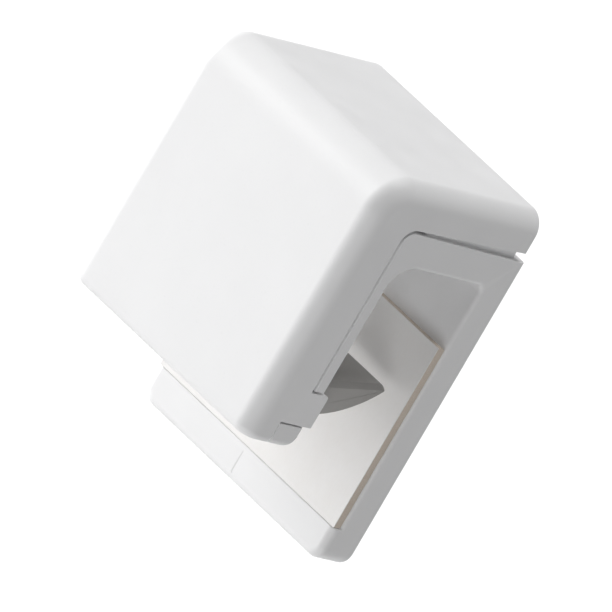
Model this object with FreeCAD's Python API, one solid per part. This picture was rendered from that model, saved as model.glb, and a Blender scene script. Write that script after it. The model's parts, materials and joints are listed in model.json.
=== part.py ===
import FreeCAD, Part
import math
import os

# Hook-over latch: a white hook with a spring-loaded head, a long adhesive-backed plate
# and a grey pawl that closes the mouth of the gap between them.
# X is the width, +Y points from the head to the plate, +Z is up.
# The origin is the centre of the adhesive pad's exposed face. Millimetres throughout.

V = FreeCAD.Vector
X_AXIS = V(1, 0, 0)
Y_AXIS = V(0, 1, 0)
Z_AXIS = V(0, 0, 1)

# ---- driving dimensions -------------------------------------------------------------
WIDTH = 50.0            # across the whole latch
GAP_DEPTH = 18.45       # clear depth from the head to the pad
GAP_TOP = 29.45         # underside of the bridge, above the pad's centre
HEAD_T = 11.7           # depth of the head
TOP = 43.4              # top of the cover above the pad's centre
HEAD_BOTTOM = -5.75     # underside of the head
PLATE_T = 6.0           # thickness of the back plate
PLATE_BOTTOM = -23.65   # lower end of the plate's lip
LIP_H = 6.45            # height of the thick lip below the pad
FOAM_T = 1.45
LINER_T = 0.15
PAD_H = 34.3
PAD_INSET = 0.4         # pad edge to the side of the plate
WALL = 2.0              # cover's side and bottom walls
FRONT_WALL = 2.2        # cover's front and top walls
COVER_SHORT = 1.3       # cover's back edge stands this far in front of the plate's back

HALF = WIDTH / 2
FRONT = -GAP_DEPTH - HEAD_T
HEAD_IN = -GAP_DEPTH
PLATE_IN = LINER_T + FOAM_T
BACK = PLATE_IN + PLATE_T
COVER_BACK = BACK - COVER_SHORT

# seam between cover and frame
SEAM_Y = -21.5          # cover's edge beside the head strip
GROOVE = 0.5            # groove between that edge and the strip
SEAM_Z_FRONT = 36.0     # cover's lower edge at the front of the bridge
SEAM_Z_BACK = 36.65     # and at its back
FRAME_Z_FRONT = 35.55   # frame's upper edge at the front of the bridge
FRAME_Z_BACK = 35.05    # and at its back: the gap widens towards the back
SEAM_R = 2.6
STRIP_FRONT = SEAM_Y + GROOVE
STRIP_BOTTOM = 5.1      # the strip ends just above the cover's ear
INSET_HALF = 22.7       # half width of the frame where the cover wraps it
GROOVE_FLOOR = 24.2     # half width over the floor of the groove

# ears of the cover and the frame's shelf under them
EAR_BACK = -17.35
EAR_TOP = 4.72
EAR_BOTTOM = -1.3
EAR_R = 0.4
SHELF_FRONT = -24.35
SHELF_BACK = -18.25
SHELF_TOP = -1.55
SHELF_BOTTOM = -5.75
SHELF_R = 2.5
SHELF_GAP = 0.12

# rim that stands on the bridge inside the cover
TONGUE_HALF = 24.2
TONGUE_T = 2.1
TONGUE_FRONT = -16.5
TONGUE_BACK = 5.1
TONGUE_TOP = 38.4
TONGUE_GAP = 0.2        # rim to the thin lower edge of the cover
TONGUE_ROOM = 1.6       # above the rim, for the cover's press
BRIDGE_CORE = 33.5      # height inside the bridge that its uprights grow from
LIP_SPLIT_W = 0.1       # fine moulding line down the middle of the lip
LIP_SPLIT_DEEP = 0.03
LIP_SPLIT_END = 1.0

# outside rounding
TOP_FRONT_R = 7.0       # between front and top
BOTTOM_R = 1.6          # around the cover's lower rim and the ends of the head's bottom
SIDE_R = 3.6            # around the front and top outlines
EDGE_R = 0.9            # frame's outline
LIP_CORNER_R = 2.8      # lip's lower corners seen from the front
LIP_FRONT_R = 1.5       # around its front face
LIP_TOP_R = 0.3
BACK_EDGE_R = 1.0       # around the back of plate and lip
GAP_FRONT_R = 4.5       # inner corner under the bridge, head side
GAP_BACK_R = 1.5        # inner corner under the bridge, plate side

# pawl and its pin
PAWL_Y = -20.2
PAWL_Z = 2.0
PAWL_HALF = 21.25
PAWL_TIP = -2.15
PAWL_TIP_TOP_Z = 7.2
PAWL_SLOPE = 7.7        # rise of the flat top towards the tip, degrees
HUB_R = 2.75
HUB_HALF = 19.0
PIN_R = 1.25
PIN_HALF = 22.6
BUSH_R = 1.9
BUSH_L = 4.0
RUN = 0.05              # radial clearance of a pin in a bush
SPRING_IN = 6.3         # inner and outer ends of each spring's place on the pin
SPRING_OUT = 12.0
HUB_CLEAR = 0.45
NOSE_R = 0.75           # rounding of the pawl's tip
NOSE_DROP = 0.9         # height over which the tip rounds down
BELLY_Y = -8.9          # point that the convex underside runs through
BELLY_Z = 1.45
HEEL_FLAT = 2.6         # flat under the pin, towards the tip
HEEL_REACH = 2.9        # heel's round back, in front of the pin
HEEL_BULGE = 0.15
PAWL_CHAMFER = 0.8      # along the top's side edges
CHEEK_FRONT = -24.0     # frame's cheeks beside the pawl
CHEEK_TOP = 30.0
CHEEK_STEP = 0.3        # cheek's boss to the pawl's hub
TAIL_HALF = 6.0
TAIL_FRONT = -25.6
TAIL_ROOT = -21.7
TAIL_LOW = 0.7
TAIL_TOP = 3.4
TAIL_ROOM_R = 6.0
TAIL_SIDE = 0.8
WINDOW_HALF = 21.6
WINDOW_TOP = 23.0

# torsion springs beside the pawl's middle hub
TORSION_R = 2.1
TORSION_WIRE = 0.3
TORSION_PITCH = 0.78
TORSION_TURNS = 4.25
LEG_X = 10.8            # leg that stands in the shelf
UPPER_LEG = 4.4
LEG_HOLE_R = 0.4
LEG_HOLE_DEEP = 1.2
LEG_END_GAP = 0.3       # leg's end to the bottom of its hole
LEG_GROOVE_HALF = 0.5
LEG_GROOVE_L = 5.0

# cover's pivot and its press
PIVOT_Y = -21.5
PIVOT_Z = 38.3
LUG_IN = 16.5
LUG_OUT = 19.8
LUG_R = 2.5
BOSS_IN = 20.3
BOSS_R = 3.0
COVER_BUSH_R = 2.0
COVER_BUSH_L = 2.2
BUSH_SEAT = 0.1         # bush seat runs past the bush by this at each end
PIVOT_HEAD_R = 2.1
PIVOT_HEAD_T = 0.9

# shoulder screws and coil springs at the back of the bridge
SCREW_X = 14.0
SCREW_Y = -3.0
SCREW_R = 1.2
SCREW_HOLE_R = 1.95
RECESS_R = 3.3
RECESS_TOP = 32.85
POST_R = 2.2
POST_BOTTOM = 36.8
SEAT_R = 4.2
SEAT_Z = 35.7
SEAT_ROOT = 34.0
COIL_R = 3.0
COIL_WIRE = 0.3
COIL_TURNS = 3.5
WASHER_R = 2.9
WASHER_T = 0.5
WASHER_Z = 32.3
SCREW_HEAD_R = 2.3
SCREW_HEAD_T = 1.6
SLOT_HALF = 0.35        # screwdriver slot, half width and depth
SLOT_DEEP = 0.7
SCREW_GRIP = 3.5        # length of a cover screw in its post

# bar that holds the pawl's tail
SEAR_HALF = 17.0
SEAR_BACK = -24.5
SEAR_FRONT = -27.7
SEAR_Z = 3.6
SEAR_T = 1.5
SEAR_SCREW_X = 14.0
SEAR_SCREW_Y = -26.2
SEAR_SCREW_R = 1.0
SEAR_HEAD_R = 1.7
SEAR_HEAD_T = 1.3
SEAR_SLOT_HALF = 0.25
SEAR_GRIP = 5.8         # length of a sear screw above the bar's underside
SEAR_BOSS_R = 1.9
SEAR_BOSS_L = 6.0
SEAR_WEB_HALF = 0.8

# rubber bumper that meets the cheeks when the cover is pressed too far
BUMPER_HALF = 11.0
BUMPER_FRONT = -25.6
BUMPER_BACK = -23.6
BUMPER_LOW = 15.5
BUMPER_TOP = 18.5

SINK = 0.5              # how far a joined feature runs into the wall that it grows from
PAST = 1.0              # how far a cut runs past the face that it opens
ARCS = 4                # arcs to a turn of coil


# ---- helpers -----------------------------------------------------------------------
def box(x0, x1, y0, y1, z0, z1):
    return Part.makeBox(x1 - x0, y1 - y0, z1 - z0, V(x0, y0, z0))


def rod(radius, start, axis, length):
    return Part.makeCylinder(radius, length, start, axis)


def cross_rod(radius, x0, x1, y, z):
    """A cylinder along X from x0 to x1."""
    return rod(radius, V(x0, y, z), X_AXIS, x1 - x0)


def rounded_outline(corners):
    """Closed wire in the YZ plane from (y, z, radius) corners, each rounded by its radius."""
    count = len(corners)
    starts = []
    ends = []
    mids = []
    for i in range(count):
        y, z, r = corners[i]
        here = V(0, y, z)
        before = V(0, *corners[i - 1][:2]) - here
        after = V(0, *corners[(i + 1) % count][:2]) - here
        before.normalize()
        after.normalize()
        if r == 0:
            starts.append(here)
            ends.append(here)
            mids.append(None)
            continue
        half_angle = before.getAngle(after) / 2
        reach = r / math.tan(half_angle)
        bisector = before + after
        bisector.normalize()
        centre = here + bisector * (r / math.sin(half_angle))
        starts.append(here + before * reach)
        ends.append(here + after * reach)
        mids.append(centre - bisector * r)
    edges = []
    for i in range(count):
        if mids[i] is not None:
            edges.append(Part.Arc(starts[i], mids[i], ends[i]).toShape())
        nxt = (i + 1) % count
        if ends[i].distanceToPoint(starts[nxt]) > 1e-6:
            edges.append(Part.LineSegment(ends[i], starts[nxt]).toShape())
    return Part.Wire(edges)


def extrude_x(wire, x0, x1):
    """Solid between x0 and x1 from a closed wire in the YZ plane."""
    face = Part.Face(wire)
    face.translate(V(x0, 0, 0))
    return face.extrude(V(x1 - x0, 0, 0))


def end_edges(shape, x, wanted):
    """Edges that lie in the plane at x and whose middle satisfies wanted(y, z)."""
    found = []
    for edge in shape.Edges:
        mid = edge.valueAt((edge.FirstParameter + edge.LastParameter) / 2)
        flat = all(abs(v.X - x) < 1e-4 for v in edge.Vertexes) and abs(mid.x - x) < 1e-4
        if flat and wanted(mid.y, mid.z):
            found.append(edge)
    return found


def both_sides(make):
    """The same piece at +X and, mirrored, at -X."""
    right = make()
    left = right.mirror(V(0, 0, 0), X_AXIS)
    return right, left


def coil_path(radius, turns, pitch, start_angle):
    """Centre line of a coil about Z that rises from z = 0, as arcs through points of its helix."""
    def point(turn):
        angle = start_angle + 2 * math.pi * turn
        return V(radius * math.cos(angle), radius * math.sin(angle), pitch * turn)
    step = 1 / ARCS
    starts = [k * step for k in range(round(turns * ARCS))]
    return [Part.Arc(point(t), point(t + step / 2), point(t + step)).toShape() for t in starts]


def wire_rod(edges, wire):
    """Round spring wire along a path of edges."""
    first = edges[0]
    start = first.valueAt(first.FirstParameter)
    section = Part.Wire(Part.makeCircle(wire, start, first.tangentAt(first.FirstParameter)))
    return Part.Wire(edges).makePipeShell([section], True, False)


def join(first, others):
    return first.multiFuse(others).removeSplitter()


# ---- hook frame --------------------------------------------------------------------
def hook_outline():
    """Outline of plate, bridge and head strip, seen from the side."""
    plate_end = PLATE_BOTTOM + LIP_H / 2
    return rounded_outline([
        (BACK, FRAME_Z_BACK, 0),
        (STRIP_FRONT, FRAME_Z_FRONT, SEAM_R - GROOVE),
        (STRIP_FRONT, STRIP_BOTTOM, 0),
        (HEAD_IN, STRIP_BOTTOM, 0),
        (HEAD_IN, GAP_TOP, GAP_FRONT_R),
        (PLATE_IN, GAP_TOP, GAP_BACK_R),
        (PLATE_IN, plate_end, 0),
        (BACK, plate_end, 0),
    ])


def round_hook(hook):
    """Round the side edges of the plate and of the inside of the gap."""
    def on_inside(y, z):
        in_gap = HEAD_IN - 0.01 < y < PLATE_IN + 0.01 and STRIP_BOTTOM < z < GAP_TOP + 0.01
        on_plate = abs(y - PLATE_IN) < 0.01 and z < GAP_TOP
        return in_gap or on_plate

    def on_back(y, z):
        return abs(y - BACK) < 0.01
    for side in (HALF, -HALF):
        hook = hook.makeFillet(EDGE_R, end_edges(hook, side, on_inside))
        hook = hook.makeFillet(BACK_EDGE_R, end_edges(hook, side, on_back))
    return hook


def flat_edges(shape, axis, at):
    """Edges that lie in the plane across the axis, "x", "y" or "z", at a height on it."""
    def fits(edge):
        middle = edge.valueAt((edge.FirstParameter + edge.LastParameter) / 2)
        points = [v.Point for v in edge.Vertexes] + [middle]
        return all(abs(getattr(point, axis) - at) < 0.001 for point in points)
    return [edge for edge in shape.Edges if fits(edge)]


def lip():
    """Thick bar along the plate's lower end, rounded like a thumb at its ends and underside."""
    lip_top = PLATE_BOTTOM + LIP_H
    bar = box(-HALF, HALF, 0, BACK, PLATE_BOTTOM, lip_top)
    for side in (HALF, -HALF):
        corner = [e for e in flat_edges(bar, "x", side) if e.CenterOfMass.z < PLATE_BOTTOM + 0.01]
        bar = bar.makeFillet(LIP_CORNER_R, corner)
    front = [e for e in flat_edges(bar, "y", 0) if e.CenterOfMass.z < lip_top - 0.01]
    bar = bar.makeFillet(LIP_FRONT_R, front)
    top = [e for e in flat_edges(bar, "z", lip_top) if e.CenterOfMass.y < BACK - 0.01]
    bar = bar.makeFillet(LIP_TOP_R, top)
    back = [e for e in flat_edges(bar, "y", BACK) if e.CenterOfMass.z < lip_top - 0.01]
    return bar.makeFillet(BACK_EDGE_R, back)


def shelf():
    """Bottom of the head: its ends show as small tabs beside the cover."""
    bar = extrude_x(rounded_outline([
        (SHELF_FRONT, SHELF_BOTTOM, 0),
        (SHELF_BACK, SHELF_BOTTOM, SHELF_R),
        (SHELF_BACK, SHELF_TOP, 0),
        (SHELF_FRONT, SHELF_TOP, 0),
    ]), -HALF, HALF)

    def on_round(y, z):
        return z < SHELF_TOP - 0.01 and y > SHELF_FRONT + 0.01
    for side in (HALF, -HALF):
        bar = bar.makeFillet(BOTTOM_R, end_edges(bar, side, on_round))
    return bar


def tongue():
    """Upright rim on the bridge that closes the view into the cover."""
    inner = TONGUE_HALF - TONGUE_T
    side = box(inner, TONGUE_HALF, TONGUE_FRONT, TONGUE_BACK, BRIDGE_CORE, TONGUE_TOP)
    back = box(-TONGUE_HALF, TONGUE_HALF, TONGUE_BACK - TONGUE_T, TONGUE_BACK, BRIDGE_CORE, TONGUE_TOP)
    return list(both_sides(lambda: side)) + [back]


def cheeks():
    """Thin cheeks beside the pawl with a boss for its pin."""
    def right():
        cheek = box(WINDOW_HALF, INSET_HALF, CHEEK_FRONT, HEAD_IN, SHELF_TOP - PAST, CHEEK_TOP)
        boss = cross_rod(HUB_R, HUB_HALF + CHEEK_STEP, WINDOW_HALF + SINK, PAWL_Y, PAWL_Z)
        return cheek.fuse(boss)
    return list(both_sides(right))


def groove_floors():
    """Ledges that close the bottom of the groove beside each strip."""
    inner = INSET_HALF - SINK
    top = SEAM_Z_FRONT - SEAM_R
    front = SEAM_Y + RUN
    return list(both_sides(
        lambda: box(inner, GROOVE_FLOOR, front, STRIP_FRONT + SINK, STRIP_BOTTOM, top)
    ))


def pivot_lugs():
    """Pair of lugs above the bridge's front that carry the cover's pivot pins."""
    def right():
        lug = cross_rod(LUG_R, LUG_IN, LUG_OUT, PIVOT_Y, PIVOT_Z)
        foot = box(LUG_IN, LUG_OUT, PIVOT_Y - LUG_R, PIVOT_Y + LUG_R, CHEEK_TOP, PIVOT_Z)
        return lug.fuse(foot)
    return list(both_sides(right))


def frame_cuts():
    """Room for the pawl's tail and springs, and the holes for pins, springs' legs and screws."""
    room = HUB_R + HUB_CLEAR
    tail_side = TAIL_HALF + TAIL_SIDE
    leg_hole = V(LEG_X, PAWL_Y - TORSION_R, SHELF_TOP - LEG_HOLE_DEEP)
    cuts = [
        cross_rod(TAIL_ROOM_R, -tail_side, tail_side, PAWL_Y, PAWL_Z),
        cross_rod(PIN_R, -PIN_HALF - PAST, PIN_HALF + PAST, PAWL_Y, PAWL_Z),
        cross_rod(PIN_R, -LUG_OUT - PAST, LUG_OUT + PAST, PIVOT_Y, PIVOT_Z),
    ]
    cuts += both_sides(lambda: cross_rod(room, SPRING_IN, SPRING_OUT, PAWL_Y, PAWL_Z))
    cuts += both_sides(lambda: rod(LEG_HOLE_R, leg_hole, Z_AXIS, LEG_HOLE_DEEP + PAST))
    under = GAP_TOP - PAST
    hole = V(SCREW_X, SCREW_Y, under)
    cuts += both_sides(lambda: rod(SCREW_HOLE_R, hole, Z_AXIS, SEAT_Z - under + PAST))
    cuts += both_sides(lambda: rod(RECESS_R, hole, Z_AXIS, RECESS_TOP - under))
    split = LIP_SPLIT_W / 2
    low = PLATE_BOTTOM + LIP_SPLIT_END
    high = PLATE_BOTTOM + LIP_H - LIP_SPLIT_END
    cuts.append(box(-split, split, -PAST, LIP_SPLIT_DEEP, low, high))
    return cuts


def make_hook_frame():
    hook = round_hook(extrude_x(hook_outline(), -HALF, HALF))
    wall = box(-INSET_HALF, INSET_HALF, STRIP_FRONT, HEAD_IN, SHELF_TOP - PAST, STRIP_BOTTOM + PAST)
    seats = both_sides(lambda: rod(SEAT_R, V(SCREW_X, SCREW_Y, SEAT_ROOT), Z_AXIS, SEAT_Z - SEAT_ROOT))
    rims = tongue() + groove_floors()
    body = join(hook, [lip(), wall, shelf()] + rims + pivot_lugs() + list(seats))
    window = box(-WINDOW_HALF, WINDOW_HALF, TAIL_FRONT, HEAD_IN + PAST, SHELF_TOP, WINDOW_TOP)
    body = join(body.cut(window), cheeks())
    return body.cut(frame_cuts())


# ---- pad ---------------------------------------------------------------------------
def pad_layer(y0, y1):
    half = HALF - PAD_INSET
    return box(-half, half, y0, y1, -PAD_H / 2, PAD_H / 2)


# ---- front cover -------------------------------------------------------------------
def cover_outline():
    return rounded_outline([
        (FRONT, HEAD_BOTTOM, 0),
        (FRONT, TOP, TOP_FRONT_R),
        (COVER_BACK, TOP, 0),
        (COVER_BACK, SEAM_Z_BACK, 0),
        (SEAM_Y, SEAM_Z_FRONT, SEAM_R),
        (SEAM_Y, EAR_TOP, 0),
        (EAR_BACK, EAR_TOP, EAR_R),
        (EAR_BACK, EAR_BOTTOM, 0),
        (SHELF_FRONT - SHELF_GAP, EAR_BOTTOM, 0),
        (SHELF_FRONT - SHELF_GAP, HEAD_BOTTOM, 0),
    ])


def cover_cavity():
    """Inside of the cover, open downwards behind the head's bottom wall, wider over the rim."""
    inner = rounded_outline([
        (FRONT + FRONT_WALL, HEAD_BOTTOM + WALL, 0),
        (FRONT + FRONT_WALL, TOP - FRONT_WALL, TOP_FRONT_R - FRONT_WALL),
        (COVER_BACK - WALL, TOP - FRONT_WALL, 0),
        (COVER_BACK - WALL, HEAD_BOTTOM + WALL, 0),
    ])
    cavity = extrude_x(inner, -HALF + WALL, HALF - WALL)

    def on_round(y, z):
        return y < COVER_BACK - WALL - 0.01 and z > HEAD_BOTTOM + WALL + 0.01
    for side in (HALF - WALL, -HALF + WALL):
        cavity = cavity.makeFillet(SIDE_R - WALL, end_edges(cavity, side, on_round))
    wide = TONGUE_HALF + TONGUE_GAP
    front = TONGUE_FRONT - 2 * TONGUE_GAP
    high = TONGUE_TOP + TONGUE_ROOM
    return cavity.fuse(box(-wide, wide, front, TONGUE_BACK + TONGUE_GAP, GAP_TOP, high))


def cover_fittings():
    """Pivot bosses, screw posts, sear bosses and the rib behind the bumper."""
    inside = FRONT + FRONT_WALL - SINK
    sear_top = SEAR_Z + SEAR_T

    def right():
        pivot_boss = cross_rod(BOSS_R, BOSS_IN, HALF - WALL + SINK, PIVOT_Y, PIVOT_Z)
        post_top = TOP - FRONT_WALL + SINK
        post = rod(POST_R, V(SCREW_X, SCREW_Y, POST_BOTTOM), Z_AXIS, post_top - POST_BOTTOM)
        boss = rod(SEAR_BOSS_R, V(SEAR_SCREW_X, SEAR_SCREW_Y, sear_top), Z_AXIS, SEAR_BOSS_L)
        web_in = SEAR_SCREW_X - SEAR_WEB_HALF
        web_out = SEAR_SCREW_X + SEAR_WEB_HALF
        web = box(web_in, web_out, inside, SEAR_SCREW_Y, sear_top, sear_top + SEAR_BOSS_L)
        return pivot_boss.multiFuse([post, boss, web])
    rib_half = BUMPER_HALF + PAST
    bumper_rib = box(-rib_half, rib_half, inside, BUMPER_FRONT, BUMPER_LOW, BUMPER_TOP)
    return list(both_sides(right)) + [bumper_rib]


def cover_holes():
    """Seats of the pivot bushes and holes of the screws."""
    def right():
        seat_in = BOSS_IN - BUSH_SEAT
        seat_out = BOSS_IN + COVER_BUSH_L + BUSH_SEAT
        bush_seat = cross_rod(COVER_BUSH_R, seat_in, seat_out, PIVOT_Y, PIVOT_Z)
        screw_l = SCREW_GRIP + PAST
        screw_hole = rod(SCREW_R, V(SCREW_X, SCREW_Y, POST_BOTTOM - PAST), Z_AXIS, screw_l)
        sear_hole = rod(SEAR_SCREW_R, V(SEAR_SCREW_X, SEAR_SCREW_Y, SEAR_Z), Z_AXIS, SEAR_GRIP)
        return Part.makeCompound([bush_seat, screw_hole, sear_hole])
    return list(both_sides(right))


def cover_outside():
    """Outer form: the side outline, rounded along its front, top and bottom."""
    outer = extrude_x(cover_outline(), -HALF, HALF)

    def on_round(y, z):
        on_front = y < FRONT + 0.01 and z > HEAD_BOTTOM + 0.01
        on_top = z > TOP - TOP_FRONT_R and y < COVER_BACK - 0.01
        return on_front or on_top
    for side in (HALF, -HALF):
        outer = outer.makeFillet(SIDE_R, end_edges(outer, side, on_round))
    seam = SHELF_FRONT - SHELF_GAP
    rim = [e for e in flat_edges(outer, "z", HEAD_BOTTOM) if e.CenterOfMass.y < seam - 0.01]
    return outer.makeFillet(BOTTOM_R, rim)


def make_front_cover():
    cover = cover_outside().cut(cover_cavity())
    return join(cover, cover_fittings()).cut(cover_holes())


# ---- pawl --------------------------------------------------------------------------
def top_line(y):
    """Height of the pawl's flat top."""
    return PAWL_TIP_TOP_Z - math.tan(math.radians(PAWL_SLOPE)) * (PAWL_TIP - NOSE_R - y)


def pawl_outline():
    """Flat sloping top, blunt tip, convex underside and a round heel about the pin."""
    ridge = V(0, PAWL_TIP - NOSE_R, PAWL_TIP_TOP_Z)
    heel_top = V(0, PAWL_Y, top_line(PAWL_Y))
    nose = V(0, PAWL_TIP, PAWL_TIP_TOP_Z - NOSE_DROP)
    nose_mid = V(0, PAWL_TIP - NOSE_R / 4, PAWL_TIP_TOP_Z - NOSE_DROP / 3)
    low = PAWL_Z - HUB_R
    heel_low = V(0, PAWL_Y + HEEL_FLAT, low)
    heel_end = V(0, PAWL_Y, low)
    heel_mid = V(0, PAWL_Y - HEEL_REACH, PAWL_Z + HEEL_BULGE)
    return Part.Wire([
        Part.LineSegment(heel_top, ridge).toShape(),
        Part.Arc(ridge, nose_mid, nose).toShape(),
        Part.Arc(nose, V(0, BELLY_Y, BELLY_Z), heel_low).toShape(),
        Part.LineSegment(heel_low, heel_end).toShape(),
        Part.Arc(heel_end, heel_mid, heel_top).toShape(),
    ])


def pawl_cuts():
    """Room for the cheeks' bosses and the springs, bush seats, pin hole and leg grooves."""
    room = HUB_R + HUB_CLEAR
    leg_x = LEG_X - TORSION_TURNS * TORSION_PITCH
    groove_in = leg_x - LEG_GROOVE_HALF
    groove_out = leg_x + LEG_GROOVE_HALF
    groove_low = PAWL_Z + TORSION_R - TORSION_WIRE
    groove_high = groove_low + LEG_GROOVE_L

    def right():
        return Part.makeCompound([
            cross_rod(room, HUB_HALF, PAWL_HALF + PAST, PAWL_Y, PAWL_Z),
            cross_rod(room, SPRING_IN, SPRING_OUT, PAWL_Y, PAWL_Z),
            cross_rod(BUSH_R, HUB_HALF - BUSH_L, HUB_HALF + PAST, PAWL_Y, PAWL_Z),
            box(groove_in, groove_out, PAWL_Y, PAWL_Y + LEG_GROOVE_L, groove_low, groove_high),
        ])
    pin_hole = cross_rod(PIN_R + 4 * RUN, -HUB_HALF, HUB_HALF, PAWL_Y, PAWL_Z)
    return list(both_sides(right)) + [pin_hole]


def make_pawl():
    blade = extrude_x(pawl_outline(), -PAWL_HALF, PAWL_HALF)

    def on_top(y, z):
        return abs(z - top_line(y)) < 0.01
    for side in (PAWL_HALF, -PAWL_HALF):
        blade = blade.makeChamfer(PAWL_CHAMFER, end_edges(blade, side, on_top))
    tail = box(-TAIL_HALF, TAIL_HALF, TAIL_FRONT, TAIL_ROOT, TAIL_LOW, TAIL_TOP)
    return join(blade, [tail]).cut(pawl_cuts())


def bush(x0, x1, outer, y, z):
    return cross_rod(outer, x0, x1, y, z).cut(cross_rod(PIN_R + RUN, x0, x1, y, z))


def make_pawl_spring():
    """Torsion spring on the pin: one leg presses the pawl's top, the other stands in the shelf."""
    path = coil_path(TORSION_R, TORSION_TURNS, TORSION_PITCH, -math.pi / 2)
    lower_l = PAWL_Z - SHELF_TOP + LEG_HOLE_DEEP - LEG_END_GAP
    start = V(0, -TORSION_R, 0)
    end = V(TORSION_R, 0, TORSION_TURNS * TORSION_PITCH)
    lower = Part.LineSegment(start - X_AXIS * lower_l, start).toShape()
    upper = Part.LineSegment(end, end + Y_AXIS * UPPER_LEG).toShape()
    spring = wire_rod([lower] + path + [upper], TORSION_WIRE)
    spring.rotate(V(0, 0, 0), Y_AXIS, -90)
    spring.translate(V(LEG_X, PAWL_Y, PAWL_Z))
    return spring


# ---- cover's pins, screws and springs ----------------------------------------------
def make_pivot_pin():
    head = cross_rod(PIVOT_HEAD_R, LUG_IN - PIVOT_HEAD_T, LUG_IN, PIVOT_Y, PIVOT_Z)
    pin_end = BOSS_IN + COVER_BUSH_L - 2 * BUSH_SEAT
    return head.fuse(cross_rod(PIN_R, LUG_IN, pin_end, PIVOT_Y, PIVOT_Z))


def make_cover_screw():
    """Shoulder screw from below, its slotted head in the bridge's recess."""
    low = WASHER_Z - SCREW_HEAD_T
    head = rod(SCREW_HEAD_R, V(SCREW_X, SCREW_Y, low), Z_AXIS, SCREW_HEAD_T)
    reach = SCREW_HEAD_R + PAST
    slot = box(
        SCREW_X - SLOT_HALF, SCREW_X + SLOT_HALF,
        SCREW_Y - reach, SCREW_Y + reach,
        low - PAST, low + SLOT_DEEP,
    )
    shank_l = POST_BOTTOM + SCREW_GRIP - WASHER_Z
    return head.cut(slot).fuse(rod(SCREW_R, V(SCREW_X, SCREW_Y, WASHER_Z), Z_AXIS, shank_l))


def make_cover_washer():
    ring = rod(WASHER_R, V(SCREW_X, SCREW_Y, WASHER_Z), Z_AXIS, WASHER_T)
    return ring.cut(rod(SCREW_R + RUN, V(SCREW_X, SCREW_Y, WASHER_Z), Z_AXIS, WASHER_T))


def make_cover_spring():
    low = SEAT_Z + COIL_WIRE
    height = TOP - FRONT_WALL - COIL_WIRE - low
    pitch = height / COIL_TURNS
    spring = wire_rod(coil_path(COIL_R, COIL_TURNS, pitch, 0), COIL_WIRE)
    spring.translate(V(SCREW_X, SCREW_Y, low))
    return spring


# ---- sear --------------------------------------------------------------------------
def make_sear_bar():
    """Steel strip under the cover's bosses that holds the pawl's tail down."""
    bar = box(-SEAR_HALF, SEAR_HALF, SEAR_FRONT, SEAR_BACK, SEAR_Z, SEAR_Z + SEAR_T)
    return bar.cut(list(both_sides(
        lambda: rod(SEAR_SCREW_R, V(SEAR_SCREW_X, SEAR_SCREW_Y, SEAR_Z), Z_AXIS, SEAR_T)
    )))


def make_sear_screw():
    low = SEAR_Z - SEAR_HEAD_T
    head = rod(SEAR_HEAD_R, V(SEAR_SCREW_X, SEAR_SCREW_Y, low), Z_AXIS, SEAR_HEAD_T)
    reach = SEAR_HEAD_R + PAST
    slot = box(
        SEAR_SCREW_X - reach, SEAR_SCREW_X + reach,
        SEAR_SCREW_Y - SEAR_SLOT_HALF, SEAR_SCREW_Y + SEAR_SLOT_HALF,
        low - PAST, low + SLOT_DEEP,
    )
    shank = rod(SEAR_SCREW_R, V(SEAR_SCREW_X, SEAR_SCREW_Y, SEAR_Z), Z_AXIS, SEAR_GRIP)
    return head.cut(slot).fuse(shank)


def make_stop_bumper():
    return box(-BUMPER_HALF, BUMPER_HALF, BUMPER_FRONT, BUMPER_BACK, BUMPER_LOW, BUMPER_TOP)


# ---- all nodes ---------------------------------------------------------------------
def make_nodes():
    nodes = {
        "hook_frame": make_hook_frame(),
        "foam_pad": pad_layer(LINER_T, PLATE_IN),
        "release_liner": pad_layer(0, LINER_T),
        "front_cover": make_front_cover(),
        "pawl": make_pawl(),
        "pawl_pin": cross_rod(PIN_R, -PIN_HALF, PIN_HALF, PAWL_Y, PAWL_Z),
        "sear_bar": make_sear_bar(),
        "stop_bumper": make_stop_bumper(),
    }
    pairs = {
        "pawl_bush": lambda: bush(HUB_HALF - BUSH_L, HUB_HALF, BUSH_R, PAWL_Y, PAWL_Z),
        "pawl_spring": make_pawl_spring,
        "cover_bush": lambda: bush(BOSS_IN, BOSS_IN + COVER_BUSH_L, COVER_BUSH_R, PIVOT_Y, PIVOT_Z),
        "cover_spring": make_cover_spring,
    }
    for name, make in pairs.items():
        nodes[name + "_right"], nodes[name + "_left"] = both_sides(make)
    groups = {
        "cover_pivot_pins": make_pivot_pin,
        "cover_screws": make_cover_screw,
        "cover_screw_washers": make_cover_washer,
        "sear_screws": make_sear_screw,
    }
    for name, make in groups.items():
        nodes[name] = Part.makeCompound(list(both_sides(make)))
    return nodes


os.makedirs("parts", exist_ok=True)
for node_name, shape in make_nodes().items():
    solids = shape.Solids
    print(node_name, len(solids), "solids", round(shape.Volume, 1), "mm3", shape.isValid())
    shape.exportStep("parts/" + node_name + ".step")
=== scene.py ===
import json
import math

import bmesh
import bpy
from mathutils import Matrix, Vector, noise


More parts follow.
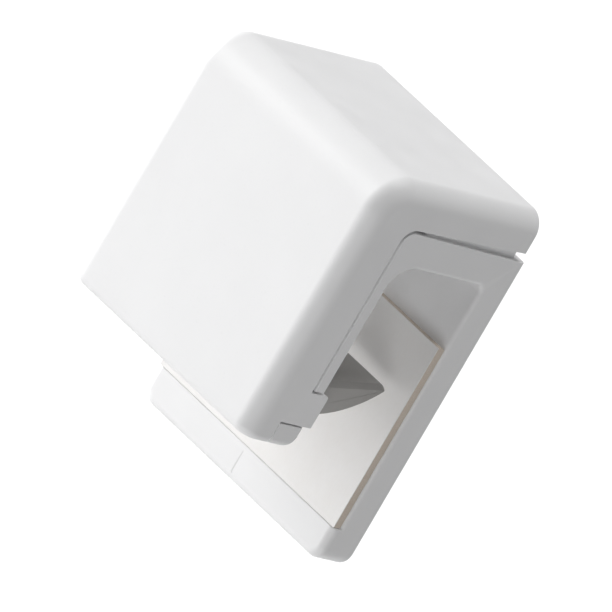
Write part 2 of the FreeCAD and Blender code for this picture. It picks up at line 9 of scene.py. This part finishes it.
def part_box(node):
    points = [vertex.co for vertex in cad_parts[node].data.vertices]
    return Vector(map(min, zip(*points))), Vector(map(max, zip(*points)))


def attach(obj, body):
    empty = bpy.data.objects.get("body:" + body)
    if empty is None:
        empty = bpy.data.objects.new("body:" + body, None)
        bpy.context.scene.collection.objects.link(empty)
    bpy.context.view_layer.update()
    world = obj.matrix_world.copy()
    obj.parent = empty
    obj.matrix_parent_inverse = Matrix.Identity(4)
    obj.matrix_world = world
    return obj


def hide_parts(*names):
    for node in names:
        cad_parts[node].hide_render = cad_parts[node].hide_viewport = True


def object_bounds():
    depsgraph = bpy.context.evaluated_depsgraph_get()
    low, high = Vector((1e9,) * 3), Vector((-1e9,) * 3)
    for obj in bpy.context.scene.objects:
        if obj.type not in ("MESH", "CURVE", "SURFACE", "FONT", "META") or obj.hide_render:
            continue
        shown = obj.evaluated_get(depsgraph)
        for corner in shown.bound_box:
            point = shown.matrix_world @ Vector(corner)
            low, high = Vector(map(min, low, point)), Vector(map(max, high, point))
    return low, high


# A white hook-over gate latch: rocking front cover, grey sprung pawl, foam-backed plate.
# Metres throughout, in the frame of the CAD model.

MM = 0.001
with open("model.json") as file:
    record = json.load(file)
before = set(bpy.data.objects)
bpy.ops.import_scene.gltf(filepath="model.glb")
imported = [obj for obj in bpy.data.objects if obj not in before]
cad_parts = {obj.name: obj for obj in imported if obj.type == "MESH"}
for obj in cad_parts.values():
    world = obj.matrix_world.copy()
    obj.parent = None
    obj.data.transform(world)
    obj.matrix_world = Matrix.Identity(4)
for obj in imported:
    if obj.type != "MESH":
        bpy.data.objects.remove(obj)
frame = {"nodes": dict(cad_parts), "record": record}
CAD_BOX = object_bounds()
CENTRE = (CAD_BOX[0] + CAD_BOX[1]) / 2
SCENE = bpy.context.scene


# ---- materials ---------------------------------------------------------------------
FLAT_POINT = 0.52         # pointiness of a flat, and of a fully lightened convex edge
EDGE_POINT = 0.6


class Paint:
    """A material with a Principled shader and the few node chains that the finishes share."""

    def __init__(self, name):
        self.material = bpy.data.materials.new(name)
        self.material.use_nodes = True
        self.tree = self.material.node_tree
        self.shader = self.tree.nodes["Principled BSDF"]
        self.place = self.tree.nodes.new("ShaderNodeTexCoord").outputs["Object"]
        self.normal = None

    def node(self, kind, **values):
        made = self.tree.nodes.new("ShaderNode" + kind)
        for key, value in values.items():
            setattr(made, key, value)
        return made

    def link(self, start, end):
        self.tree.links.new(start, end)

    def stretched(self, scale):
        mapping = self.node("Mapping")
        mapping.inputs["Scale"].default_value = scale
        self.link(self.place, mapping.inputs["Vector"])
        return mapping.outputs["Vector"]

    def noise(self, size, detail=3.0, roughness=0.55, place=None):
        """Noise whose features are about size metres across."""
        made = self.node("TexNoise")
        made.inputs["Scale"].default_value = 1 / size
        made.inputs["Detail"].default_value = detail
        made.inputs["Roughness"].default_value = roughness
        self.link(place or self.place, made.inputs["Vector"])
        return made.outputs["Fac"]

    def cells(self, size):
        """Distance to the middle of round cells about size metres across."""
        made = self.node("TexVoronoi")
        made.inputs["Scale"].default_value = 1 / size
        self.link(self.place, made.inputs["Vector"])
        return made.outputs["Distance"]

    def spread(self, source, low, high, out_low, out_high):
        made = self.node("MapRange")
        made.inputs["From Min"].default_value = low
        made.inputs["From Max"].default_value = high
        made.inputs["To Min"].default_value = out_low
        made.inputs["To Max"].default_value = out_high
        self.link(source, made.inputs["Value"])
        return made.outputs["Result"]

    def blend(self, factor, first, second):
        """Mix of two colours, each a tuple or a socket."""
        made = self.node("Mix", data_type="RGBA")
        self.link(factor, made.inputs["Factor"])
        for socket, value in ((made.inputs[6], first), (made.inputs[7], second)):
            if isinstance(value, tuple):
                socket.default_value = (*value, 1)
            else:
                self.link(value, socket)
        return made.outputs[2]

    def add_bump(self, height, strength, distance):
        made = self.node("Bump")
        made.inputs["Strength"].default_value = strength
        made.inputs["Distance"].default_value = distance
        self.link(height, made.inputs["Height"])
        if self.normal:
            self.link(self.normal, made.inputs["Normal"])
        self.normal = made.outputs["Normal"]

    def edges(self):
        """0 on flats, 1 on convex edges."""
        return self.spread(self.node("NewGeometry").outputs["Pointiness"], FLAT_POINT, EDGE_POINT, 0, 1)

    def finish(self, colour, roughness, **uniform):
        self.link(colour, self.shader.inputs["Base Color"])
        self.link(roughness, self.shader.inputs["Roughness"])
        if self.normal:
            self.link(self.normal, self.shader.inputs["Normal"])
        for key, value in uniform.items():
            self.shader.inputs[key.replace("_", " ")].default_value = value
        return self.material


def moulded_plastic(name, light, dark, rough, grain, grain_depth):
    """Satin moulding: cloudy tint, flow waviness, spark-eroded grain, and convex edges lightened as a
    painted highlight.
    """
    paint = Paint(name)
    cloud = paint.spread(paint.noise(14 * MM, 4), 0.35, 0.65, 0, 1)
    specks = paint.spread(paint.noise(0.5 * MM, 2), 0.62, 0.8, 0, 0.35)
    base = paint.blend(cloud, light, dark)
    speckled = paint.blend(specks, base, tuple(0.93 * c for c in dark))
    edge = paint.edges()
    # painted highlight: convex edges are lightened towards a brighter tint, standing in for light caught on
    # the rounded edges
    painted_edge_highlight = paint.blend(paint.spread(edge, 0, 1, 0, 0.5), speckled, tuple(min(1.04 * c, 0.92) for c in light))
    patches = paint.spread(paint.noise(5 * MM, 3), 0.3, 0.7, rough - 0.05, rough + 0.06)
    paint.add_bump(paint.noise(7 * MM, 1), 0.12, 0.05 * MM)
    paint.add_bump(paint.noise(grain, 2, 0.6), 0.35, grain_depth)
    return paint.finish(painted_edge_highlight, patches, IOR=1.5)


def make_materials():
    return {
        "white_housing": moulded_plastic(
            "white_housing_abs", (0.86, 0.86, 0.865), (0.845, 0.845, 0.85), 0.46, 0.22 * MM, 0.004 * MM
        ),
        "grey_pawl": moulded_plastic(
            "grey_pawl_nylon", (0.44, 0.43, 0.415), (0.4, 0.39, 0.377), 0.5, 0.18 * MM, 0.008 * MM
        ),
        "acetal": moulded_plastic(
            "turned_acetal", (0.84, 0.82, 0.76), (0.8, 0.78, 0.71), 0.4, 0.3 * MM, 0.005 * MM
        ),
        "black_rubber": moulded_plastic(
            "black_bumper_rubber", (0.03, 0.03, 0.031), (0.02, 0.02, 0.021), 0.7, 0.25 * MM, 0.02 * MM
        ),
        "foam": foam_material(),
        "release_paper": paper_material(),
        "steel": steel_material(),
    }


def foam_material():
    """Closed-cell foam: rounded cells with darker walls and a few open pits."""
    paint = Paint("beige_foam_cells")
    cell = paint.cells(0.16 * MM)
    wall = paint.spread(cell, 0.1, 0.6, 0, 1)
    cloud = paint.spread(paint.noise(3 * MM, 3), 0.3, 0.7, 0, 1)
    tint = paint.blend(cloud, (0.86, 0.79, 0.71), (0.81, 0.735, 0.65))
    colour = paint.blend(wall, tint, (0.72, 0.63, 0.54))
    rough = paint.spread(paint.noise(0.4 * MM), 0.3, 0.7, 0.85, 0.98)
    paint.add_bump(cell, 0.8, 0.05 * MM)
    return paint.finish(colour, rough, Specular_IOR_Level=0.3)


def paper_material():
    """Glazed release paper: fine fibres under a silicone coat, slightly mottled."""
    paint = Paint("glazed_release_paper")
    fibres = paint.noise(0.35 * MM, 4, 0.7, paint.stretched((1, 1, 0.25)))
    mottle = paint.spread(paint.noise(4 * MM, 4), 0.3, 0.7, 0, 1)
    base = paint.blend(mottle, (0.89, 0.88, 0.87), (0.875, 0.86, 0.845))
    colour = paint.blend(paint.spread(fibres, 0.45, 0.75, 0, 0.3), base, (0.82, 0.8, 0.78))
    rough = paint.spread(fibres, 0.3, 0.7, 0.42, 0.58)
    paint.add_bump(paint.noise(9 * MM, 2), 0.2, 0.06 * MM)
    paint.add_bump(fibres, 0.3, 0.006 * MM)
    return paint.finish(colour, rough, Coat_Weight=0.15, Coat_Roughness=0.35)


def steel_material():
    """Zinc-plated steel: drawn lines along X, cloudy plating and rubbed edges."""
    paint = Paint("zinc_plated_steel")
    lines = paint.noise(0.12 * MM, 3, 0.6, paint.stretched((0.04, 1, 1)))
    cloud = paint.spread(paint.noise(2 * MM, 4), 0.3, 0.7, 0, 1)
    base = paint.blend(cloud, (0.6, 0.6, 0.61), (0.5, 0.51, 0.53))
    colour = paint.blend(paint.edges(), base, (0.75, 0.75, 0.74))
    rough = paint.spread(lines, 0.3, 0.7, 0.22, 0.42)
    paint.add_bump(lines, 0.3, 0.006 * MM)
    return paint.finish(colour, rough, Metallic=1.0)


MATERIALS = make_materials()


# ---- mesh helpers ------------------------------------------------------------------
WELD = 0.0005 * MM        # corners nearer than this are one corner
FLAT = math.radians(0.4)  # faces that meet at less than this are one face
SHARP = math.radians(28)  # edges sharper than this are softened
BEVEL_STEPS = 3
TUBE_STEPS = 3            # steps along a wire between its points, and around a quarter of it
TUBE_ROUND = 5


def object_from(bm, name):
    mesh = bpy.data.meshes.new(name)
    bm.to_mesh(mesh)
    bm.free()
    made = bpy.data.objects.new(name, mesh)
    SCENE.collection.objects.link(made)
    return made


def place(piece, body, slot, *nodes):
    """Rides a new piece on its body, gives it its finish, and lets it stand for CAD nodes."""
    piece.data.materials.clear()
    piece.data.materials.append(MATERIALS[slot])
    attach(piece, body)
    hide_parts(*nodes)
    return piece


def soften(piece, width, segments):
    """Rounds the weighted edges in the mesh and shades the whole piece smooth."""
    bevel = piece.modifiers.new("edge_break", "BEVEL")
    bevel.width = width
    bevel.segments = segments
    bevel.limit_method = "WEIGHT"
    bevel.use_clamp_overlap = False
    bevel.miter_outer = "MITER_ARC"
    split = piece.modifiers.new("even_facets", "TRIANGULATE")
    split.min_vertices = 5
    split.ngon_method = "BEAUTY"
    even = piece.modifiers.new("even_shading", "WEIGHTED_NORMAL")
    even.keep_sharp = True
    for face in piece.data.polygons:
        face.use_smooth = True
    depsgraph = bpy.context.evaluated_depsgraph_get()
    mesh = bpy.data.meshes.new_from_object(piece.evaluated_get(depsgraph), depsgraph=depsgraph)
    piece.modifiers.clear()
    piece.data = mesh


def refined(node, name, width, segments=BEVEL_STEPS):
    """The CAD node's form as one welded skin: its sharp edges are softened, but not fine steps."""
    source = frame["nodes"][node].data
    bm = bmesh.new()
    corners = [bm.verts.new(v.co) for v in source.vertices]
    for face in source.polygons:
        bm.faces.new([corners[i] for i in face.vertices])
    bmesh.ops.remove_doubles(bm, verts=bm.verts, dist=WELD)
    bmesh.ops.dissolve_degenerate(bm, edges=bm.edges, dist=WELD)
    bmesh.ops.dissolve_limit(
        bm, angle_limit=FLAT, use_dissolve_boundaries=False, verts=bm.verts, edges=bm.edges
    )
    weight = bm.edges.layers.float.new("bevel_weight_edge")
    for edge in bm.edges:
        depth = min(face.calc_area() for face in edge.link_faces) / edge.calc_length()
        edge[weight] = float(edge.calc_face_angle(0) > SHARP and depth > width)
    piece = object_from(bm, name)
    soften(piece, width, segments)
    return piece


def slab(name, low, high, cell, layers, shift):
    """Closed slab between two corners in fine cells, with shift(point, rim) moving each vertex."""
    bm = bmesh.new()
    bmesh.ops.create_cube(bm, size=1)
    size = high - low
    for v in bm.verts:
        v.co = Vector([low[i] + (v.co[i] + 0.5) * size[i] for i in range(3)])
    counts = (round(size.x / cell), layers, round(size.z / cell))
    for axis, count in enumerate(counts):
        for k in range(1, count):
            point = Vector([low[i] + size[i] * k / count if i == axis else low[i] for i in range(3)])
            normal = Vector([1 if i == axis else 0 for i in range(3)])
            geometry = bm.verts[:] + bm.edges[:] + bm.faces[:]
            bmesh.ops.bisect_plane(bm, geom=geometry, plane_co=point, plane_no=normal)
    for v in bm.verts:
        edge_x = min(v.co.x - low.x, high.x - v.co.x)
        edge_z = min(v.co.z - low.z, high.z - v.co.z)
        v.co += shift(v.co.copy(), min(edge_x, edge_z))
    return object_from(bm, name)


def tube(name, points, radius):
    """Round wire along a smooth line through points, as a mesh."""
    curve = bpy.data.curves.new(name + "_line", "CURVE")
    curve.dimensions = "3D"
    spline = curve.splines.new("NURBS")
    spline.points.add(len(points) - 1)
    for target, point in zip(spline.points, points):
        target.co = (*point, 1)
    spline.order_u = 4
    spline.use_endpoint_u = True
    spline.resolution_u = TUBE_STEPS
    curve.bevel_depth = radius
    curve.bevel_resolution = TUBE_ROUND
    curve.use_fill_caps = True
    holder = bpy.data.objects.new(name + "_line", curve)
    SCENE.collection.objects.link(holder)
    depsgraph = bpy.context.evaluated_depsgraph_get()
    mesh = bpy.data.meshes.new_from_object(holder.evaluated_get(depsgraph), depsgraph=depsgraph)
    bpy.data.objects.remove(holder)
    made = bpy.data.objects.new(name, mesh)
    SCENE.collection.objects.link(made)
    for face in mesh.polygons:
        face.use_smooth = True
    return made


# ---- pieces ------------------------------------------------------------------------
FRAME_EDGE = 0.16 * MM    # width of the softened edges
COVER_EDGE = 0.14 * MM
PAWL_EDGE = 0.12 * MM
BUMPER_EDGE = 0.35 * MM
BUMPER_STEPS = 4
CELL = 0.6 * MM           # mesh cells of the soft pieces
FOAM_LAYERS = 6
FOAM_RIM = 0.05 * MM      # vertices nearer to the edge than this are on the cut side
FOAM_BELLY = 0.05 * MM    # how far the cut side's edges draw in
FOAM_PIT = 0.05 * MM      # depth and size of its pits
FOAM_PIT_SIZE = 0.35 * MM
PAPER_THIN = 0.03 * MM    # room for the paper's wave inside its own thickness
PAPER_WAVE = 0.05 * MM
PAPER_WAVE_SIZE = 9 * MM
PAPER_REACH = 5 * MM      # the wave fades out this far from the edge
WIRE_R = 0.3 * MM
SPRING_TURNS = 5.5
SPRING_STEPS = 16         # points to a turn
END_SHARE = 0.15          # share of the wire in each closed end, and the height it climbs there
END_CLIMB = 0.12


def make_housing():
    frame_skin = refined("hook_frame", "hook_frame_moulding", FRAME_EDGE)
    place(frame_skin, "frame", "white_housing", "hook_frame")
    cover_skin = refined("front_cover", "front_cover_shell", COVER_EDGE)
    place(cover_skin, "cover", "white_housing", "front_cover")
    pawl_skin = refined("pawl", "pawl_moulding", PAWL_EDGE)
    place(pawl_skin, "pawl", "grey_pawl", "pawl")
    bumper_skin = refined("stop_bumper", "stop_bumper_block", BUMPER_EDGE, BUMPER_STEPS)
    place(bumper_skin, "cover", "black_rubber", "stop_bumper")


def make_foam():
    """Cut foam: flat faces, sides that belly slightly and carry the pits of opened cells."""
    low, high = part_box("foam_pad")
    middle = (low + high) / 2

    def shift(point, rim):
        if rim > FOAM_RIM:
            return Vector()
        across = (point.y - middle.y) / (high.y - middle.y)
        inward = FOAM_BELLY * across * across
        inward += FOAM_PIT * (0.5 + noise.noise(point / FOAM_PIT_SIZE))
        on_x = min(point.x - low.x, high.x - point.x) < FOAM_RIM
        on_z = min(point.z - low.z, high.z - point.z) < FOAM_RIM
        step_x = math.copysign(on_x, middle.x - point.x)
        step_z = math.copysign(on_z, middle.z - point.z)
        return Vector((step_x, 0, step_z)) * inward
    foam = slab("foam_pad_cut_block", low, high, CELL, FOAM_LAYERS, shift)
    place(foam, "frame", "foam", "foam_pad")


def make_liner():
    """Release paper: lies flat on the foam and waves a little towards its trimmed edge."""
    low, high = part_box("release_liner")

    def shift(point, rim):
        wave = noise.noise(Vector((point.x, 0, point.z)) / PAPER_WAVE_SIZE)
        reach = max(0.0, 1 - rim / PAPER_REACH)
        return Vector((0, PAPER_WAVE * wave * reach, 0))
    face = high - Vector((0, PAPER_THIN, 0))
    liner = slab("release_liner_sheet", low, face, CELL, 1, shift)
    place(liner, "frame", "release_paper", "release_liner")


def climb(share):
    """Height of a spring's wire, 0 to 1, at a share of its length: flat ends, even middle."""
    middle = min(max((share - END_SHARE) / (1 - 2 * END_SHARE), 0), 1)
    first = END_CLIMB * min(share, END_SHARE) / END_SHARE
    last = END_CLIMB * max(share - (1 - END_SHARE), 0) / END_SHARE
    return first + (1 - 2 * END_CLIMB) * middle + last


def make_cover_springs():
    """Compression springs: active turns between closed end turns, round wire, left and right hand."""
    for side, hand in (("left", -1), ("right", 1)):
        node = "cover_spring_" + side
        low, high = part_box(node)
        radius = (high.x - low.x) / 2 - WIRE_R
        centre = (low + high) / 2
        bottom = low.z + WIRE_R
        height = high.z - low.z - 2 * WIRE_R
        steps = round(SPRING_TURNS * SPRING_STEPS)
        points = []
        for k in range(steps + 1):
            share = k / steps
            angle = hand * 2 * math.pi * SPRING_TURNS * share
            x = centre.x + radius * math.cos(angle)
            y = centre.y + radius * math.sin(angle)
            points.append((x, y, bottom + height * climb(share)))
        place(tube(node + "_wire", points, WIRE_R), "frame", "steel", node)


def finish_cad_nodes():
    """CAD nodes that keep their own form get the finish of their material slot."""
    slots = {row["node"]: row["material_slot"] for row in frame["record"]["subparts"]}
    for name, node in frame["nodes"].items():
        for slot in node.material_slots:
            slot.material = MATERIALS[slots[name]]


# ---- camera, light and floor -------------------------------------------------------
AZIMUTH = 40.977          # degrees round from looking along +Y
ELEVATION = 15.226        # degrees above the horizon
ROLL = 30.367             # degrees that the picture leans
DISTANCE = 4.6716
SENSOR = 0.036
VIEW_WIDTH = 0.09769      # width of the view at the object
AIM_RIGHT = 3.849 * MM    # view's middle from the object's middle, in the picture
AIM_UP = -2.004 * MM
CLIP_NEAR = 0.5
CLIP_FAR = 60


def make_camera():
    azimuth = math.radians(AZIMUTH)
    elevation = math.radians(ELEVATION)
    roll = math.radians(ROLL)
    level = math.cos(elevation)
    ahead = Vector((-math.sin(azimuth) * level, math.cos(azimuth) * level, -math.sin(elevation)))
    flat_right = ahead.cross(Vector((0, 0, 1))).normalized()
    flat_up = flat_right.cross(ahead)
    right = flat_right * math.cos(roll) + flat_up * math.sin(roll)
    up = flat_up * math.cos(roll) - flat_right * math.sin(roll)
    data = bpy.data.cameras.new("camera")
    data.sensor_width = SENSOR * 1000
    data.lens = DISTANCE / VIEW_WIDTH * SENSOR * 1000
    data.clip_start = CLIP_NEAR
    data.clip_end = CLIP_FAR
    camera = bpy.data.objects.new("camera", data)
    camera.matrix_world = Matrix((right, up, -ahead)).transposed().to_4x4()
    camera.location = CENTRE + right * AIM_RIGHT + up * AIM_UP - ahead * DISTANCE
    SCENE.collection.objects.link(camera)
    SCENE.camera = camera


def area_light(name, direction, power):
    """Square soft box that faces the object from a direction and that the camera doesn't see."""
    data = bpy.data.lights.new(name, "AREA")
    data.shape = "SQUARE"
    data.size = SOFT_BOX_SIZE
    data.energy = power
    light = bpy.data.objects.new(name, data)
    outward = Vector(direction).normalized()
    light.location = CENTRE + outward * SOFT_BOX_DISTANCE
    light.rotation_mode = "QUATERNION"
    light.rotation_quaternion = outward.to_track_quat("Z", "Y")
    light.visible_camera = False
    SCENE.collection.objects.link(light)


def floor_material():
    paint = Paint("pale_floor")
    tone = paint.spread(paint.noise(0.3, 3), 0.3, 0.7, 0, 1)
    colour = paint.blend(tone, (0.9, 0.9, 0.9), (0.885, 0.885, 0.885))
    rough = paint.spread(paint.noise(0.1), 0.3, 0.7, 0.7, 0.8)
    return paint.finish(colour, rough)


ROOM_LIGHT = 0.15
BACKDROP_LIGHT = 0.82
FLOOR_HALF = 12.0
FLOOR_CELLS = 8
FLOOR_Z = -1.5            # well below the latch, so that its shadow stays out of view


def make_floor():
    bm = bmesh.new()
    bmesh.ops.create_grid(bm, x_segments=FLOOR_CELLS, y_segments=FLOOR_CELLS, size=FLOOR_HALF)
    floor = object_from(bm, "floor")
    floor.location = (0, 0, FLOOR_Z)
    floor.data.materials.append(floor_material())
    return floor


WASH_POWER = 3.7          # light on the floor alone, so that it reads as a pale ground
WASH_SPREAD = math.radians(25)
SOFT_BOX_DISTANCE = 1.4
SOFT_BOX_SIZE = 0.9
SOFT_BOXES = (
    ("left_key", (-0.9, -0.4, 0.2), 21.5),
    ("overhead", (0.0, 0.08, 1.0), 12.8),
    ("low_front_fill", (-0.3, -0.8, -0.5), 6.7),
    ("low_right_fill", (0.6, -0.5, -0.5), 6.5),
    ("back_rim", (0.3, 1.0, 0.2), 2.5),
)


def studio_world():
    """Dim all-round light, seen by the camera as a pale backdrop."""
    world = bpy.data.worlds.new("studio")
    world.use_nodes = True
    tree = world.node_tree
    room = tree.nodes["Background"]
    room.inputs["Strength"].default_value = ROOM_LIGHT
    backdrop = tree.nodes.new("ShaderNodeBackground")
    backdrop.inputs["Strength"].default_value = BACKDROP_LIGHT
    for source in (room, backdrop):
        source.inputs["Color"].default_value = (1, 1, 1, 1)
    mix = tree.nodes.new("ShaderNodeMixShader")
    rays = tree.nodes.new("ShaderNodeLightPath")
    tree.links.new(rays.outputs["Is Camera Ray"], mix.inputs["Fac"])
    tree.links.new(room.outputs["Background"], mix.inputs[1])
    tree.links.new(backdrop.outputs["Background"], mix.inputs[2])
    tree.links.new(mix.outputs["Shader"], tree.nodes["World Output"].inputs["Surface"])
    return world


def make_studio():
    SCENE.world = studio_world()
    SCENE.view_settings.view_transform = "Standard"
    for name, direction, power in SOFT_BOXES:
        area_light(name, direction, power)
    floor = make_floor()
    floor.visible_diffuse = False
    wash = bpy.data.lights.new("floor_wash", "SUN")
    wash.energy = WASH_POWER
    wash.angle = WASH_SPREAD
    wash_light = bpy.data.objects.new("floor_wash", wash)
    SCENE.collection.objects.link(wash_light)
    receivers = bpy.data.collections.new("floor_only")
    receivers.objects.link(floor)
    wash_light.light_linking.receiver_collection = receivers


make_camera()
make_studio()
finish_cad_nodes()
make_housing()
make_foam()
make_liner()
make_cover_springs()
